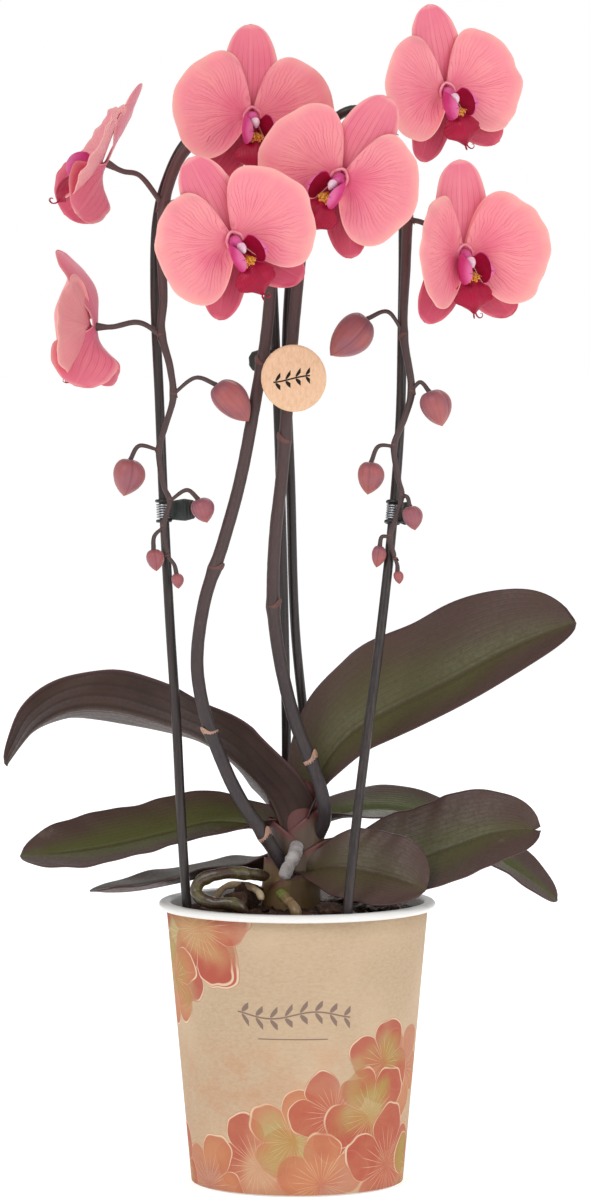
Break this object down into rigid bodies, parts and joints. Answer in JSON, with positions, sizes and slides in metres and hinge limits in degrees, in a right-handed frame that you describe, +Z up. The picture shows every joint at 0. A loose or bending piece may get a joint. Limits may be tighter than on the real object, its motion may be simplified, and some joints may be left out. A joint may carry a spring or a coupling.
{
  "type": "potted orchid",
  "caption": "Moth orchid in a paper-wrapped pot, with arching flower spikes trained over hooped rods, broad salmon-pink flowers, hanging buds and thick leaves.",
  "frame": {"origin": "centre of the cover pot's flat base", "axes": "+Z up along the pot; -Y faces the viewer, towards the flowers' fronts; +X to the viewer's right"},
  "size_m": [0.2638, 0.1424, 0.5385],
  "materials": {
    "pot_white": "smooth off-white moulded plastic, low sheen",
    "kraft_paper": "kraft paper wrap with a washed floral print",
    "clear_plastic": "clear thin plastic",
    "bark": "rough dark brown bark pieces",
    "root": "waxy green-brown root skin",
    "dry_root": "dry papery grey-beige root skin",
    "crown": "smooth waxy purple-brown leaf sheaths",
    "leaf": "thick waxy leaf, olive green with purple-brown edges",
    "leaf_underside": "thick waxy leaf seen from its purple-brown underside",
    "stem": "smooth brown-purple flower stem",
    "rod": "dark brown-black coated rod, slight sheen",
    "clip": "very dark green moulded plastic with a spring wire",
    "tag_card": "matte kraft card",
    "bud": "dusky rose-brown sepals, soft sheen",
    "petal": "velvety salmon-coral petal with fine darker veins",
    "sepal": "velvety pink sepal with fine darker veins",
    "lip": "glossy crimson lip with an orange-yellow crest and magenta column"
  },
  "bodies": {
    "root": {"cover_pot": "pot_white", "paper_sleeve": "kraft_paper", "grow_pot": "clear_plastic", "bark_mix": "bark", "bark_chip_1": "bark", "bark_chip_2": "bark", "bark_chip_3": "bark", "root_loop": "root", "root_dry_curl": "dry_root", "root_green_tip": "root", "root_grey_tip": "dry_root", "crown": "crown", "leaf_1": "leaf", "leaf_2": "leaf_underside", "leaf_3": "leaf", "leaf_4": "leaf", "leaf_5": "leaf", "leaf_6": "leaf", "leaf_7": "leaf", "flower_spike_left": "stem", "flower_spike_right": "stem", "hoop_left": "rod", "hoop_right": "rod", "clip_left": "clip", "clip_right": "clip", "clip_centre": "clip", "tag": "tag_card", "bud_l1": "bud", "bud_l2": "bud", "bud_l3": "bud", "bud_l4": "bud", "bud_l5": "bud", "bud_r1": "bud", "bud_r2": "bud", "bud_r3": "bud", "bud_r4": "bud", "bud_r5": "bud", "bud_r6": "bud", "flower_1_sepals": "sepal", "flower_1_petals": "petal", "flower_1_lip": "lip", "flower_2_sepals": "sepal", "flower_2_petals": "petal", "flower_2_lip": "lip", "flower_3_sepals": "sepal", "flower_3_petals": "petal", "flower_3_lip": "lip", "flower_4_sepals": "sepal", "flower_4_petals": "petal", "flower_4_lip": "lip", "flower_5_sepals": "sepal", "flower_5_petals": "petal", "flower_5_lip": "lip", "flower_6_sepals": "sepal", "flower_6_petals": "petal", "flower_6_lip": "lip", "flower_7_sepals": "sepal", "flower_7_petals": "petal", "flower_7_lip": "lip"}
  },
  "joints": []
}
